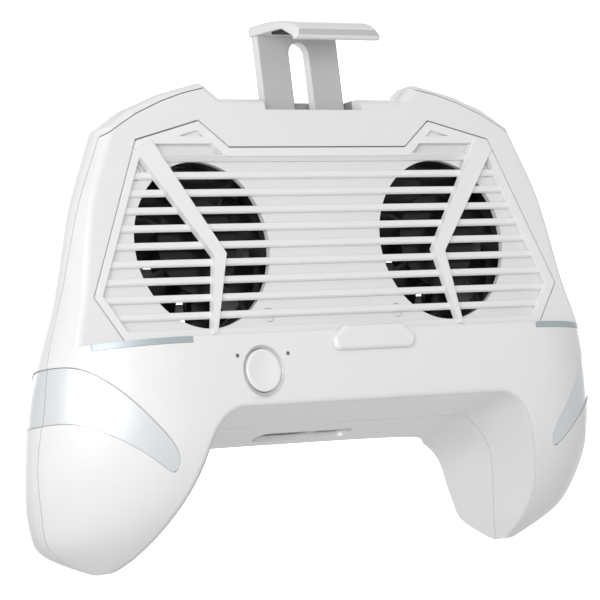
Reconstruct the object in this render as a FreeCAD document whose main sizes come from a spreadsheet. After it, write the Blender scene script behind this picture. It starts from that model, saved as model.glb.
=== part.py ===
"""Phone grip with two cooling fans: a hand-held shell that a phone stands on, with a slide-out clamp.

X runs to the right of the phone, Y runs back through the grip and Z runs up.
The origin is the middle of the grille's lower edge, on the face that the phone lies against.
All sizes are millimetres.
"""
import FreeCAD, Part
import Sketcher
import math
import os
import re

V = FreeCAD.Vector
doc = FreeCAD.newDocument("cooling_grip")
sheet = doc.addObject("Spreadsheet::Sheet", "Sizes")

# Driving sizes
SIZES = [
    # Casing
    ("wall", 1.75, "plastic wall of both shells"),
    ("seam_gap", 0.18, "gap at the line where the shells part"),
    ("ledge_height", -1.4, "top of the shelf that the phone stands on"),
    ("ledge_depth", 100.0, "depth of the cut that forms the shelf"),
    ("front_round", 1.8, "round along the edge of the upper front face and over the peaks"),
    # Grille
    ("grille_thick", 1.7, "depth of the grille plate"),
    ("grille_gap", 0.3, "clearance round the grille"),
    ("bar_recess", 0.95, "how far the bars lie behind the grille's frame"),
    ("bar_bevel", 0.4, "bevel along the lower edge of each bar"),
    ("bar_pitch", 3.87, "height from one bar to the next"),
    ("slot_height", 2.3, "open height between two bars"),
    ("first_slot_top", 38.39, "top of the highest full slot"),
    ("slot_rows", 10, "number of full slots"),
    ("slot_border", 1.9, "frame left beside the end of a slot"),
    ("peak_height", 47.24, "top of the grille's two peaks"),
    ("peak_place", 33.22, "peak to the middle"),
    ("notch_height", 41.25, "top of the grille between the peaks"),
    ("notch_place", 25.49, "corner of the notch to the middle"),
    ("corner_height", 42.96, "upper outer corner of the grille"),
    ("corner_place", 50.77, "upper outer corner to the middle"),
    ("hip_height", 8.89, "widest point of the grille"),
    ("hip_place", 66.41, "widest point to the middle"),
    ("foot_place", 59.3, "lower corner of the grille to the middle"),
    ("strut_rise", 0.5, "how far the bent struts stand out of the grille's frame"),
    ("strut_deep", 1.7, "thickness of the struts"),
    # Fan plate behind the grille
    ("plate_front", 1.8, "front of the fan plate"),
    ("plate_thick", 1.2, "thickness of the fan plate"),
    ("plate_margin", 1.6, "how far the fan plate reaches past the grille"),
    ("fan_hole_radius", 18.5, "round hole in front of each fan"),
    ("fan_place", 34.58, "fan's axis to the middle"),
    ("fan_height", 20.0, "height of the fans' axes"),
    # Fans
    ("fan_front", 3.1, "front of the fans"),
    ("fan_size", 40.0, "side of a fan's square frame"),
    ("fan_depth", 7.0, "depth of a fan's frame"),
    ("fan_corner", 3.0, "round at the corners of the frame"),
    ("fan_bore_radius", 19.1, "duct through the frame"),
    ("fan_screw_pitch", 32.0, "distance between a fan's screws"),
    ("fan_screw_radius", 1.5, "shank of a fan screw"),
    ("motor_radius", 9.5, "motor cup at the back of the frame"),
    ("motor_base", 1.4, "thickness of the motor cup's floor"),
    ("spoke_width", 2.2, "the three arms that hold the motor"),
    ("hub_radius", 10.8, "outside of the turning hub"),
    ("hub_wall", 1.1, "wall of the turning hub"),
    ("hub_depth", 4.6, "depth of the turning hub"),
    ("blade_tip_radius", 18.2, "tip of the blades"),
    ("blade_count", 7, "blades on each impeller"),
    ("blade_thick", 0.8, "thickness of a blade"),
    ("blade_sweep", 42.0, "angle that a blade turns through from front to back"),
    ("shaft_radius", 1.0, "steel shaft"),
    ("shaft_fit", 0.04, "running gap round the shaft"),
    ("bearing_radius", 2.4, "outside of the sleeve bearing"),
    ("bearing_length", 3.0, "length of the sleeve bearing"),
    ("coil_radius", 8.6, "outside of the motor coils"),
    ("coil_length", 1.6, "length of the motor coils"),
    # Clamp
    ("arm_front", 3.2, "front of the sliding arm"),
    ("arm_thick", 2.1, "thickness of the sliding arm"),
    ("arm_half_width", 11.35, "half the width of the sliding arm"),
    ("arm_foot", 6.0, "lower end of the arm as shown"),
    ("arm_slot_half", 2.9, "half the width of the arm's slot"),
    ("arm_slot_top", 66.0, "upper end of the slot"),
    ("arm_slot_foot", 14.0, "lower end of the slot"),
    ("hook_underside", 67.5, "underside of the hook plate where it meets the arm"),
    ("hook_half_width", 12.1, "half the width of the hook"),
    ("hook_front", -11.9, "front of the hook's lip"),
    ("lip_thick", 1.7, "thickness of the hook's lip"),
    ("lip_foot", 63.7, "lower edge of the hook's lip"),
    ("clamp_out", 16.0, "how far the clamp still pulls out"),
    ("clamp_in", 13.0, "how far the clamp pushes in"),
    ("guide_gap", 0.25, "clearance between the arm and its guide"),
    ("guide_wall", 1.3, "wall of the arm's guide"),
    ("guide_foot", -8.6, "lower end of the guide"),
    ("guide_top", 47.0, "upper end of the guide"),
    ("post_radius", 2.55, "stop post that stands in the arm's slot"),
    ("post_neck", 1.7, "thin end of the stop post"),
    ("post_head", 3.4, "head of the stop post"),
    ("arm_corner", 2.0, "round at the arm's lower corners"),
    ("hook_round", 1.5, "round at the ends of the hook"),
    ("post_height", 33.0, "height of the stop post"),
    ("hook_pad_thick", 0.6, "soft pad under the hook"),
    ("pad_half_width", 11.4, "half the width of that pad"),
    ("pad_long", 4.2, "length of that pad from front to back"),
    ("mouth_half_width", 14.0, "notch in the front edge for the arm"),
    ("mouth_floor", 49.9, "floor of that notch"),
    ("mouth_depth", 6.2, "how far back the notch reaches"),
    # Front bar
    ("button_place", -31.35, "power button to the middle"),
    ("button_height", -9.55, "height of the power button"),
    ("button_radius", 4.7, "power button"),
    ("button_gap", 0.15, "running gap round the power button"),
    ("button_ring_radius", 5.5, "outside of the button's ring"),
    ("button_proud", 0.1, "how far the button stands out of the bar"),
    ("button_length", 3.0, "length of the button"),
    ("button_flange", 5.2, "flange that keeps the button in"),
    ("button_round", 0.35, "round at the edge of the button"),
    ("dish_radius", 22.0, "hollow pressed into the button's face"),
    ("dish_deep", 0.35, "depth of that hollow"),
    ("ring_bevel", 0.6, "depth of the bevel on the button's ring"),
    ("button_travel", 0.8, "how far the button presses in"),
    ("lamp_radius", 0.4, "indicator lamps"),
    ("lamp_middle", -31.15, "middle between the two lamps"),
    ("lamp_pitch", 6.95, "lamp to that middle"),
    ("lamp_height", -6.1, "height of the lamps"),
    ("catch_half_foot", 11.8, "half the width of the phone catch"),
    ("catch_half_top", 8.3, "half the width of its upper edge"),
    ("catch_top", -0.5, "upper edge of the phone catch"),
    ("catch_shoulder", -3.2, "shoulder of the phone catch"),
    ("catch_foot", -6.0, "lower edge of the phone catch"),
    ("catch_peg", 1.0, "pegs of the phone catch"),
    ("catch_peg_place", 7.0, "peg to the middle"),
    ("catch_peg_height", -4.6, "height of the pegs"),
    ("catch_proud", 1.4, "how far the phone catch stands out"),
    ("bar_front", -10.4, "front face of the bar"),
    ("trim_start", 49.4, "inner end of a silver strip"),
    ("trim_end", 70.2, "outer end of a silver strip"),
    ("trim_tall", 1.35, "height of a silver strip"),
    ("trim_deep", 0.8, "thickness of a silver strip"),
    # Grip bands
    ("band_deep", 0.6, "thickness of a grip band"),
    ("band_gap", 0.16, "groove round a grip band"),
    ("band_sunk", 0.3, "how far a band lies below the shell round it"),
    # Inside
    ("board_front", -4.6, "front of the control board"),
    ("board_thick", 1.2, "thickness of the control board"),
    ("board_half", 44.0, "half the length of the control board"),
    ("board_top", -4.4, "upper edge of the control board"),
    ("board_foot", -14.6, "lower edge of the control board"),
    ("cell_half", 25.0, "half the length of the battery"),
    ("cell_front", 7.4, "front of the battery"),
    ("cell_thick", 6.0, "thickness of the battery"),
    ("cell_round", 1.5, "round edges of the battery"),
    ("cell_top", -3.6, "upper edge of the battery"),
    ("cell_foot", -17.4, "lower edge of the battery"),
    ("port_back", 18.2, "middle of the port slot, from the front"),
    ("port_slot_half", 13.8, "half the length of the port slot"),
    ("port_slot_wide", 6.0, "width of the port slot"),
    ("port_floor", -21.1, "outer face of the port plate"),
    ("flange_foot", -18.3, "underside of the port plate's flange"),
    ("port_flange", 1.0, "thickness of that flange"),
    ("usb_out_place", -5.6, "wide socket to the middle"),
    ("usb_out_half", 6.6, "half the width of the wide socket"),
    ("usb_out_tall", 4.6, "height of the wide socket"),
    ("usb_in_place", 7.4, "narrow socket to the middle"),
    ("usb_in_half", 4.0, "half the width of the narrow socket"),
    ("usb_in_tall", 2.9, "height of the narrow socket"),
    ("usb_skin", 0.4, "sheet metal of the sockets"),
    ("usb_out_long", 7.4, "length of the wide socket"),
    ("usb_in_long", 5.6, "length of the narrow socket"),
    # Vents and screws at the back
    ("post_high", 9.0, "end of the upper posts"),
    ("post_side", 14.0, "end of the side posts"),
    ("post_grip", 20.0, "end of the grip posts"),
    ("screw_seat", 1.5, "plastic under a screw head"),
    ("vent_radius", 16.5, "round field of vent slots behind a fan"),
    ("vent_slot", 2.0, "height of a vent slot"),
    ("vent_pitch", 4.0, "height from one vent slot to the next"),
    ("vent_rows", 8, "rows of vent slots"),
    ("vent_rib", 2.2, "rib down the middle of the vent"),
    ("boss_radius", 3.0, "screw posts inside the casing"),
    ("boss_core", 0.95, "core hole in a screw post"),
    ("screw_radius", 0.9, "shank of a casing screw"),
    ("screw_head_radius", 1.9, "head of a casing screw"),
    ("screw_head_tall", 1.3, "height of a screw head"),
    ("screw_sink_radius", 2.3, "well for a screw head"),
    ("screw_high_place", 24.5, "upper casing screws to the middle"),
    ("screw_high", 45.0, "height of the upper casing screws"),
    ("screw_side_place", 62.0, "side casing screws to the middle"),
    ("screw_side", -8.0, "height of the side casing screws"),
    ("screw_grip_place", 64.0, "grip screws to the middle"),
    ("screw_grip", -32.0, "height of the grip screws"),
]
for row, (alias, value, note) in enumerate(SIZES, start=1):
    sheet.set("A%d" % row, note)
    sheet.set("B%d" % row, str(value))
    sheet.setAlias("B%d" % row, alias)
doc.recompute()


def size(alias):
    return float(sheet.get(alias))


# Casing levels from top to bottom: height, inner corner, outermost point, front, depth of the
# outermost point, back of the grip and back of the casing in the middle
LEVELS = [
    (62.0, 26.0, 51.0, -10.4, 3.3, 13.8, 15.2),
    (43.0, 35.0, 60.3, -10.4, 3.6, 14.2, 15.8),
    (29.0, 41.0, 66.5, -10.4, 4.0, 15.7, 16.8),
    (10.0, 45.0, 71.4, -10.4, 5.3, 20.2, 18.2),
    (-2.0, 46.0, 75.6, -10.4, 6.2, 24.3, 20.0),
    (-10.0, 46.0, 77.6, -10.2, 8.0, 27.4, 21.8),
    (-20.0, 46.0, 78.5, -9.2, 10.0, 31.4, 23.8),
    (-28.0, 47.0, 78.3, -6.9, 12.2, 33.4, 24.3),
    (-36.0, 49.0, 76.3, -2.4, 15.5, 33.8, 24.5),
    (-42.0, 51.2, 73.1, 3.8, 17.8, 33.4, 24.5),
    (-46.4, 53.2, 66.4, 11.0, 19.6, 27.8, 24.0),
    (-48.6, 54.4, 61.4, 16.2, 19.4, 23.6, 22.5),
    (-49.0, 55.0, 60.2, 17.8, 19.5, 22.0, 21.5),
]
LEVEL_NAMES = ("level_height", "inner_corner", "outer_side", "front_face", "side_depth", "grip_back",
               "mid_back")
for row, level in enumerate(LEVELS, start=1):
    for column, (name, value) in enumerate(zip(LEVEL_NAMES, level)):
        cell = "%s%d" % ("DEFGHIJ"[column], row)
        sheet.set(cell, str(value))
        sheet.setAlias(cell, "%s_%s" % (name, "abcdefghijklmn"[row - 1]))
doc.recompute()
SHARES = (0.0, 0.2, 0.38, 0.54, 0.70, 0.87, 1.0)   # places of the outline's points along its curve
LEVEL_STEP = 4.0                                    # height between two lofted sections


def slopes(xs, ys):
    """Slopes of a smooth curve through the points that never overshoots them."""
    rise = [(b - a) / (d - c) for a, b, c, d in zip(ys, ys[1:], xs, xs[1:])]
    out = [rise[0]]
    for left, right in zip(rise, rise[1:]):
        out.append(0.0 if left * right <= 0 else 2 * left * right / (left + right))
    return out + [rise[-1]]


def between(xs, ys, x):
    """Value of that smooth curve at x; xs rise."""
    grade = slopes(xs, ys)
    i = max(0, min(len(xs) - 2, sum(1 for v in xs if v <= x) - 1))
    step = xs[i + 1] - xs[i]
    t = (x - xs[i]) / step
    a = (1 + 2*t) * (1 - t)**2 * ys[i] + t * (1 - t)**2 * step * grade[i]
    return a + t*t * (3 - 2*t) * ys[i + 1] + t*t * (t - 1) * step * grade[i + 1]


def levels_filled(low):
    """Levels close enough together to loft, from the height low upwards."""
    rows = sorted([tuple(size("%s_%s" % (n, "abcdefghijklmn"[i])) for n in LEVEL_NAMES)
                   for i in range(len(LEVELS))])
    heights = [r[0] for r in rows]
    wanted = []
    for under, over in zip(heights, heights[1:]):
        count = max(1, round((over - under) / LEVEL_STEP))
        wanted += [under + (over - under) * k / count for k in range(count)]
    inside = [v for v in wanted if v > low + 1.0 and v > heights[0]]
    wanted = [max(low, heights[0])] + inside + [heights[-1]]
    columns = list(zip(*rows))
    return [tuple([z] + [between(heights, list(c), z) for c in columns[1:]]) for z in wanted]


def mirror(p):
    return V(-p.x, p.y, p.z)


def steady_curve(points, start, end, shares):
    length = sum((b - a).Length for a, b in zip(points, points[1:]))
    curve = Part.BSplineCurve()
    curve.interpolate(Points=points, Parameters=list(shares), InitialTangent=start * (0.9*length),
                      FinalTangent=end * (0.9*length), Scale=False)
    return curve


def casing_section(level, inset):
    """Closed outline of the casing at one height, drawn inwards by inset."""
    z, inner, outer, front, side, back, middle = level
    width = outer - inner
    points = [V(inner, front, z), V(inner + 0.40*width, front + 0.08*(side - front), z),
              V(inner + 0.78*width, front + 0.44*(side - front), z), V(outer, side, z),
              V(outer - 0.11*width, side + 0.52*(back - side), z),
              V(outer - 0.50*width, back - 0.01*(back - side), z),
              V(inner + 0.06*width, back - 0.06*(back - side), z)]
    start, end = V(1, 0.02, 0), V(-1, -0.12, 0)
    curve = steady_curve(points, start, end, SHARES)
    if inset:
        moved = []
        for share, point in zip(SHARES, points):
            along = curve.tangent(share)[0]
            moved.append(point + V(-along.y, along.x, 0) * inset)
        points = moved
        curve = steady_curve(points, start, end, SHARES)
    last = points[-1]
    rise = V(-1, 0.12, 0)
    shoulder = V(inner - 4.5, middle - inset + 0.35*(last.y - middle + inset), z)
    flat = V(0.66*inner, middle - inset + 0.06*(last.y - middle + inset), z)
    rear_points = [last, shoulder, flat, V(0, middle - inset, z), mirror(flat), mirror(shoulder), mirror(last)]
    rear = steady_curve(rear_points, end, rise, (0, 0.1, 0.2, 0.5, 0.8, 0.9, 1))
    left = steady_curve([mirror(p) for p in reversed(points)], rise, V(1, -0.02, 0),
                        [1 - s for s in reversed(SHARES)])
    front_line = Part.LineSegment(mirror(points[0]), points[0])
    return Part.Wire([curve.toShape(), rear.toShape(), left.toShape(), front_line.toShape()])


# Upper outline of the casing and how its top is crowned from front to back
TOP_LINE = [(26.0, 52.4), (30.8, 56.0), (42.6, 53.3), (51.0, 50.2), (70.0, 38.6)]
TOP_CROWN = [(-14.0, 0.0), (0.0, 0.0), (4.5, 0.3), (10.0, -0.7), (15.0, -4.4), (19.0, -9.8), (36.0, -31.0)]
FAR = 90.0


def top_block(drop):
    """Everything below the casing's crowned top."""
    wires = []
    for y, rise in TOP_CROWN:
        right = [V(x, y, z + rise - drop) for x, z in TOP_LINE]
        ring = [mirror(p) for p in reversed(right)] + right
        ring += [V(FAR, y, 30), V(FAR, y, -60), V(-FAR, y, -60), V(-FAR, y, 30)]
        wires.append(Part.makePolygon(ring + [ring[0]]))
    return Part.makeLoft(wires, True, False)


# The arch between the two grips: depth, height of its roof, where its roof ends and its side
ARCH = [
    (-24.0, -14.9, 34.0,
     [(39.4, -16), (42.2, -19.8), (44.2, -26.5), (48.0, -35.6), (51.8, -42.6), (55.6, -52)]),
    (12.0, -20.4, 40.0,
     [(45.5, -23), (49.2, -26.8), (51.2, -32), (52.7, -37.5), (54.6, -44), (57.4, -52)]),
    (45.0, -27.3, 49.0,
     [(53.0, -28.7), (54.6, -31.2), (55.4, -34.4), (56.8, -38.8), (58.8, -44.4), (61.8, -52)]),
]
ARCH_SHARES = (0.0, 0.16, 0.30, 0.46, 0.62, 0.79, 1.0)   # places of its points along each side's curve
ARCH_FLOOR = -70.0


def arch_wire(row, grow):
    y, roof, flat, side = row

    def half(sign):
        points = [V(sign * (flat - grow), y, roof + grow)] + [V(sign * (x + grow), y, z) for x, z in side]
        curve = steady_curve(points, V(sign, 0, 0), V(sign * 0.35, 0, -1), ARCH_SHARES)
        foot = V(points[-1].x, y, ARCH_FLOOR)
        return points[0], [curve.toShape(), Part.LineSegment(points[-1], foot).toShape()], foot

    right, right_edges, right_foot = half(1)
    left, left_edges, left_foot = half(-1)
    edges = [Part.LineSegment(left, right).toShape()] + right_edges
    edges += [Part.LineSegment(right_foot, left_foot).toShape()] + left_edges[::-1]
    return Part.Wire(Part.__sortEdges__(edges))


def arch_block(grow):
    return Part.makeLoft([arch_wire(row, grow) for row in ARCH], True, True)


def casing_loft(inset, low=-60.0):
    return Part.makeLoft([casing_section(level, inset) for level in levels_filled(low)], True, False)


def casing_solid(inset, low=-60.0):
    """The casing's outer form, or its hollow when inset is a wall; low is where it stops."""
    body = casing_loft(inset, low)
    deep = size("ledge_depth")
    ledge = Part.makeBox(2*deep, deep + inset, deep, V(-deep, -deep, size("ledge_height") - inset))
    body = body.cut(ledge).common(top_block(inset))
    return body.cut(arch_block(inset))


# Shapes drawn on the front plane and pushed back along Y
def prism(points, y0, y1):
    """Straight-sided plate between two depths; points are pairs of X and Z."""
    ring = [V(x, y0, z) for x, z in points]
    return Part.Face(Part.makePolygon(ring + [ring[0]])).extrude(V(0, y1 - y0, 0))


def grown(points, margin):
    """Outline with each side moved outwards by margin; the points run clockwise as seen from the front."""
    out = []
    count = len(points)
    for i in range(count):
        before, here, after = points[i - 1], points[i], points[(i + 1) % count]
        lines = []
        for a, b in ((before, here), (here, after)):
            length = math.hypot(b[0] - a[0], b[1] - a[1])
            side = ((a[1] - b[1]) / length, (b[0] - a[0]) / length)
            lines.append((a[0] + side[0]*margin, a[1] + side[1]*margin, (b[0] - a[0])/length, (b[1] - a[1])/length))
        (ax, az, adx, adz), (bx, bz, bdx, bdz) = lines
        cross = adx*bdz - adz*bdx
        t = ((bx - ax)*bdz - (bz - az)*bdx) / cross
        out.append((ax + adx*t, az + adz*t))
    return out


def rounded_prism(points, y0, y1, radius):
    """Plate whose corners are rounded."""
    solid = prism(points, y0, y1)
    upright = [e for e in solid.Edges if abs(e.BoundBox.YLength - (y1 - y0)) < 1e-6 and e.BoundBox.XLength < 1e-6]
    return solid.makeFillet(radius, upright)


def rod_shape(x, z, y0, y1, radius):
    return Part.makeCylinder(radius, y1 - y0, V(x, y0, z), V(0, 1, 0))


def box_shape(x0, x1, y0, y1, z0, z1):
    return Part.makeBox(x1 - x0, y1 - y0, z1 - z0, V(x0, y0, z0))


def flip(shape):
    """Mirror image on the other side of the middle."""
    return shape.mirror(V(0, 0, 0), V(1, 0, 0))


def grille_outline():
    half = [(size("notch_place"), size("notch_height")), (size("peak_place"), size("peak_height")),
            (size("corner_place"), size("corner_height")), (size("hip_place"), size("hip_height")),
            (size("foot_place"), size("ledge_height") + 0.1)]
    return [(-x, z) for x, z in reversed(half)] + half


# Depth of the casing's parting line at each height
PARTING = [(70.0, 1.9), (60.0, 1.95), (44.0, 2.0), (38.0, 2.2), (30.0, 2.8), (20.0, 4.0), (9.0, 5.5), (-1.0, 6.2),
           (-12.0, 7.2), (-18.0, 8.5), (-24.0, 10.6), (-30.0, 12.3), (-36.0, 14.8), (-43.0, 18.8), (-48.0, 21.5),
           (-60.0, 26.0)]


def parting_block(behind, shift):
    """Everything in front of the parting line, or behind it, kept back by shift."""
    step = shift if behind else -shift
    line = Part.BSplineCurve()
    line.interpolate([V(-FAR, y + step, z) for z, y in PARTING])
    far = 60.0 if behind else -60.0
    top, foot = PARTING[0], PARTING[-1]
    a, b = V(-FAR, far, top[0]), V(-FAR, far, foot[0])
    edges = [line.toShape(), Part.LineSegment(V(-FAR, foot[1] + step, foot[0]), b).toShape(),
             Part.LineSegment(b, a).toShape(), Part.LineSegment(a, V(-FAR, top[1] + step, top[0])).toShape()]
    return Part.Face(Part.Wire(edges)).extrude(V(2*FAR, 0, 0))


# Line of the seam along the two shoulders, on the front face
TOP_SEAM = [(25.0, 60.0), (27.6, 57.4), (30.6, 54.7), (36.6, 53.5), (42.7, 51.7), (49.8, 48.95), (54.1, 46.7),
            (56.9, 45.1), (59.4, 43.9), (64.0, 42.6), (90.0, 40.0)]


def front_block(shift):
    """Everything in front of the seam: the parting line's block below the line along the shoulders."""
    right = [V(x, -30, z - shift) for x, z in TOP_SEAM]
    ring = [mirror(q) for q in reversed(right)] + right + [V(FAR, -30, -70), V(-FAR, -30, -70)]
    below = Part.Face(Part.makePolygon(ring + [ring[0]])).extrude(V(0, 90, 0))
    return parting_block(False, shift).common(below)


# Edge of a grip band, from its upper outer end round its tip to its lower outer end
BAND_EDGE = [(84.0, -5.6), (80.0, -5.35), (76.0, -5.2), (74.2, -5.5), (72.2, -6.4), (69.4, -8.6), (66.3, -11.6),
             (62.6, -15.6), (58.9, -19.8), (55.6, -23.6), (54.0, -26.2), (53.7, -28.2), (54.6, -29.8), (56.8, -29.0),
             (60.8, -26.1), (65.2, -23.0), (68.7, -20.7), (71.9, -18.8), (75.2, -17.5), (80.0, -17.3), (84.0, -17.4)]


def band_prism(shrink):
    """Column whose outline is the band's, seen from the front, made smaller by shrink."""
    curve = Part.BSplineCurve()
    curve.interpolate([V(x, -30, z) for x, z in BAND_EDGE])
    if shrink:
        moved = []
        for x, z in BAND_EDGE:
            along = curve.tangent(curve.parameter(V(x, -30, z)))[0]
            moved.append(V(x - along.z*shrink, -30, z + along.x*shrink))
        curve.interpolate(moved)
    ends = curve.StartPoint, curve.EndPoint
    side = [ends[1], V(90, -30, ends[1].z), V(90, -30, ends[0].z), ends[0]]
    edges = [curve.toShape()] + [Part.LineSegment(a, b).toShape() for a, b in zip(side, side[1:])]
    return Part.Face(Part.Wire(edges)).extrude(V(0, 80, 0))


def rounded_casing(body):
    """The casing with its long outer edges rounded."""
    def front_edge(b):
        return abs(b.YMin) < 1e-3 and abs(b.YMax) < 1e-3 and b.ZMax > 5

    def ridge(b):
        return b.YMin < 0.1 and b.YMax > 8 and b.ZMin > 40 and b.XLength < 2.5

    edges = [e for e in body.Edges if front_edge(e.BoundBox) or ridge(e.BoundBox)]
    return body.makeFillet(size("front_round"), edges)


outer = rounded_casing(casing_solid(0.0))
hollow = casing_solid(size("wall"), -45.4)
skin = outer.cut(casing_loft(size("trim_deep")))
sunk = outer.common(casing_loft(size("band_sunk")))
band_skin = sunk.cut(casing_loft(size("band_sunk") + size("band_deep")))
PIECES = {}


# Helpers for the pieces
def rule(text):
    """A size rule whose words are cells of the sheet."""
    return re.sub(r"[a-z][a-z_]+", lambda word: "Sizes." + word.group(), text)


def keep(node, thing):
    thing.Label = node
    PIECES[node] = thing
    return thing


def shaped(node, shape):
    """Piece whose form comes from the functions above; the largest solid is the piece."""
    thing = doc.addObject("Part::Feature", node)
    thing.Shape = max(shape.Solids, key=lambda s: s.Volume)
    thing.Placement = FreeCAD.Placement()
    return keep(node, thing)


def place(thing, x, y, z):
    for axis, text in (("x", x), ("y", y), ("z", z)):
        thing.setExpression("Placement.Base." + axis, rule(text))


def block(name, x, y, z):
    """Box between two rules on each axis."""
    thing = doc.addObject("Part::Box", name)
    for side, (low, high) in zip(("Length", "Width", "Height"), (x, y, z)):
        thing.setExpression(side, rule("(%s) - (%s)" % (high, low)))
    place(thing, x[0], y[0], z[0])
    return thing


def rod(name, x, z, start, end, radius):
    """Cylinder along Y."""
    thing = doc.addObject("Part::Cylinder", name)
    thing.Placement = FreeCAD.Placement(V(0, 0, 0), FreeCAD.Rotation(V(1, 0, 0), -90))
    thing.setExpression("Radius", rule(radius))
    thing.setExpression("Height", rule("(%s) - (%s)" % (end, start)))
    place(thing, x, start, z)
    return thing


def joined(name, things):
    thing = doc.addObject("Part::MultiFuse", name)
    thing.Shapes = things
    return thing


def less(name, base, tools):
    thing = doc.addObject("Part::Cut", name)
    thing.Base = base
    thing.Tool = tools[0] if len(tools) == 1 else joined(name + "_tools", tools)
    return thing


def softened(name, base, radius, wanted):
    """Rounds the edges that wanted picks."""
    doc.recompute()
    thing = doc.addObject("Part::Fillet", name)
    thing.Base = base
    thing.Edges = [(n, size(radius), size(radius))
                   for n, e in enumerate(base.Shape.Edges, start=1) if wanted(e.BoundBox)]
    return thing


def turned(node, x, y, z, steps):
    """Round piece along Y made of stacked discs: start, end, radius and bore of each, from y onwards."""
    body = doc.addObject("PartDesign::Body", node)
    plane = [f for f in body.Origin.OriginFeatures if f.Role == "XZ_Plane"][0]
    for number, (start, end, radius, bore) in enumerate(steps):
        sketch = body.newObject("Sketcher::SketchObject", "%s_disc_%d" % (node, number))
        sketch.AttachmentSupport = (plane, [""])
        sketch.MapMode = "FlatFace"
        sketch.setExpression("AttachmentOffset.Base.z", rule("-(%s)" % start))
        for k, text in enumerate([radius, bore] if bore else [radius]):
            sketch.addGeometry(Part.Circle(V(0, 0, 0), V(0, 0, 1), 2.0 - k), False)
            sketch.addConstraint(Sketcher.Constraint("Coincident", k, 3, -1, 1))
            bound = sketch.addConstraint(Sketcher.Constraint("Radius", k, 2.0 - k))
            sketch.setExpression("Constraints[%d]" % bound, rule(text))
        pad = body.newObject("PartDesign::Pad", "%s_pad_%d" % (node, number))
        pad.Profile = sketch
        pad.Reversed = True
        pad.setExpression("Length", rule("(%s) - (%s)" % (end, start)))
    place(body, x, y, z)
    return keep(node, body)


# Casing screws: place, height and where the front shell's post ends
SCREWS = [("high", "screw_high_place", "screw_high", "post_high"),
          ("side", "screw_side_place", "screw_side", "post_side"),
          ("grip", "screw_grip_place", "screw_grip", "post_grip")]


def both_sides(shapes):
    return shapes + [flip(s) for s in shapes]


def band_parts():
    """Front and rear band of the right grip and the pockets for both."""
    gap = size("band_gap")
    bands = band_skin.common(band_prism(gap))
    front = bands.common(parting_block(False, size("seam_gap") / 2))
    rear = bands.common(parting_block(True, size("seam_gap") / 2))
    return front, rear, band_prism(0.0).cut(casing_loft(size("band_sunk") + size("band_deep") + 0.05))


def trim_box(spare):
    return box_shape(size("trim_start") - spare, size("trim_end") + spare, -14, 3,
                     size("ledge_height") - size("trim_tall") - spare, size("ledge_height") + 1)


def mouth_box(spare):
    """Notch in the top where the clamp's arm comes out."""
    half, deep = size("mouth_half_width") + spare, size("mouth_depth") + spare
    return box_shape(-half, half, -3, deep, size("mouth_floor") - spare, 70)


def casing_walls():
    """Both shells together, still in one."""
    walls = outer.cut(hollow.cut(mouth_box(size("wall"))))
    arm = size("arm_half_width") + size("guide_gap") + 0.05
    front = size("arm_front") - size("guide_gap") - 0.05
    back = size("arm_front") + size("arm_thick") + size("guide_gap") + 0.05
    return walls.cut([mouth_box(0.0), box_shape(-arm, arm, front, back, 44, 70)])


BANDS = band_parts()
WALLS = casing_walls()
POCKETS = both_sides([BANDS[2]])


def front_shell():
    shell = WALLS.common(front_block(size("seam_gap") / 2))
    x, z = size("button_place"), size("button_height")
    posts, cores = [], []
    for name, across, height, end in SCREWS:
        a, b, stop = size(across), size(height), size(end)
        posts.append(rod_shape(a, b, -15, stop, size("boss_radius")).common(outer))
        cores.append(rod_shape(a, b, stop - 6.5, stop + 1, size("boss_core")))
    board = size("board_half") - 3.0
    middle = (size("board_top") + size("board_foot")) / 2
    posts.append(rod_shape(board, middle, -9.2, size("board_front"), 2.0))
    posts.append(rod_shape(board, middle, -9.2, size("board_front") + size("board_thick") + 0.5, 0.9))
    shell = shell.fuse(both_sides(posts))
    opening = prism(grown(grille_outline(), size("grille_gap")), -2, size("plate_front"))
    tools = POCKETS + both_sides(cores + [trim_box(0.05).cut(casing_loft(size("trim_deep") + 0.05))]) + [opening]
    tools.append(rod_shape(x, z, -12, -5, size("button_ring_radius") + 0.02))
    for side in (-1, 1):
        tools.append(rod_shape(size("lamp_middle") + side*size("lamp_pitch"), size("lamp_height"), -12, -8,
                               size("lamp_radius") + 0.03))
        tools.append(rod_shape(side*size("catch_peg_place"), size("catch_peg_height"), -12, -8,
                               size("catch_peg") + 0.02))
    return shell.cut(tools)


def vent_slots():
    slots = []
    reach, tall = size("vent_radius"), size("vent_slot")
    rows = int(size("vent_rows"))
    for i in range(rows):
        off = (i - (rows - 1) / 2) * size("vent_pitch")
        half = math.sqrt(max(0.0, reach**2 - (abs(off) + tall/2)**2))
        x, z, rib = size("fan_place"), size("fan_height") + off, size("vent_rib") / 2
        if half > 3 * rib:
            slots.append(box_shape(x - half, x - rib, 8, 40, z - tall/2, z + tall/2))
            slots.append(box_shape(x + rib, x + half, 8, 40, z - tall/2, z + tall/2))
    return slots


def slot_prism(half, width, z0, z1):
    """Upright slot with round ends."""
    y, r = size("port_back"), width / 2
    ends = [Part.makeCylinder(r, z1 - z0, V(side*(half - r), y, z0)) for side in (-1, 1)]
    return box_shape(-half + r, half - r, y - r, y + r, z0, z1).fuse(ends)


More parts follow.
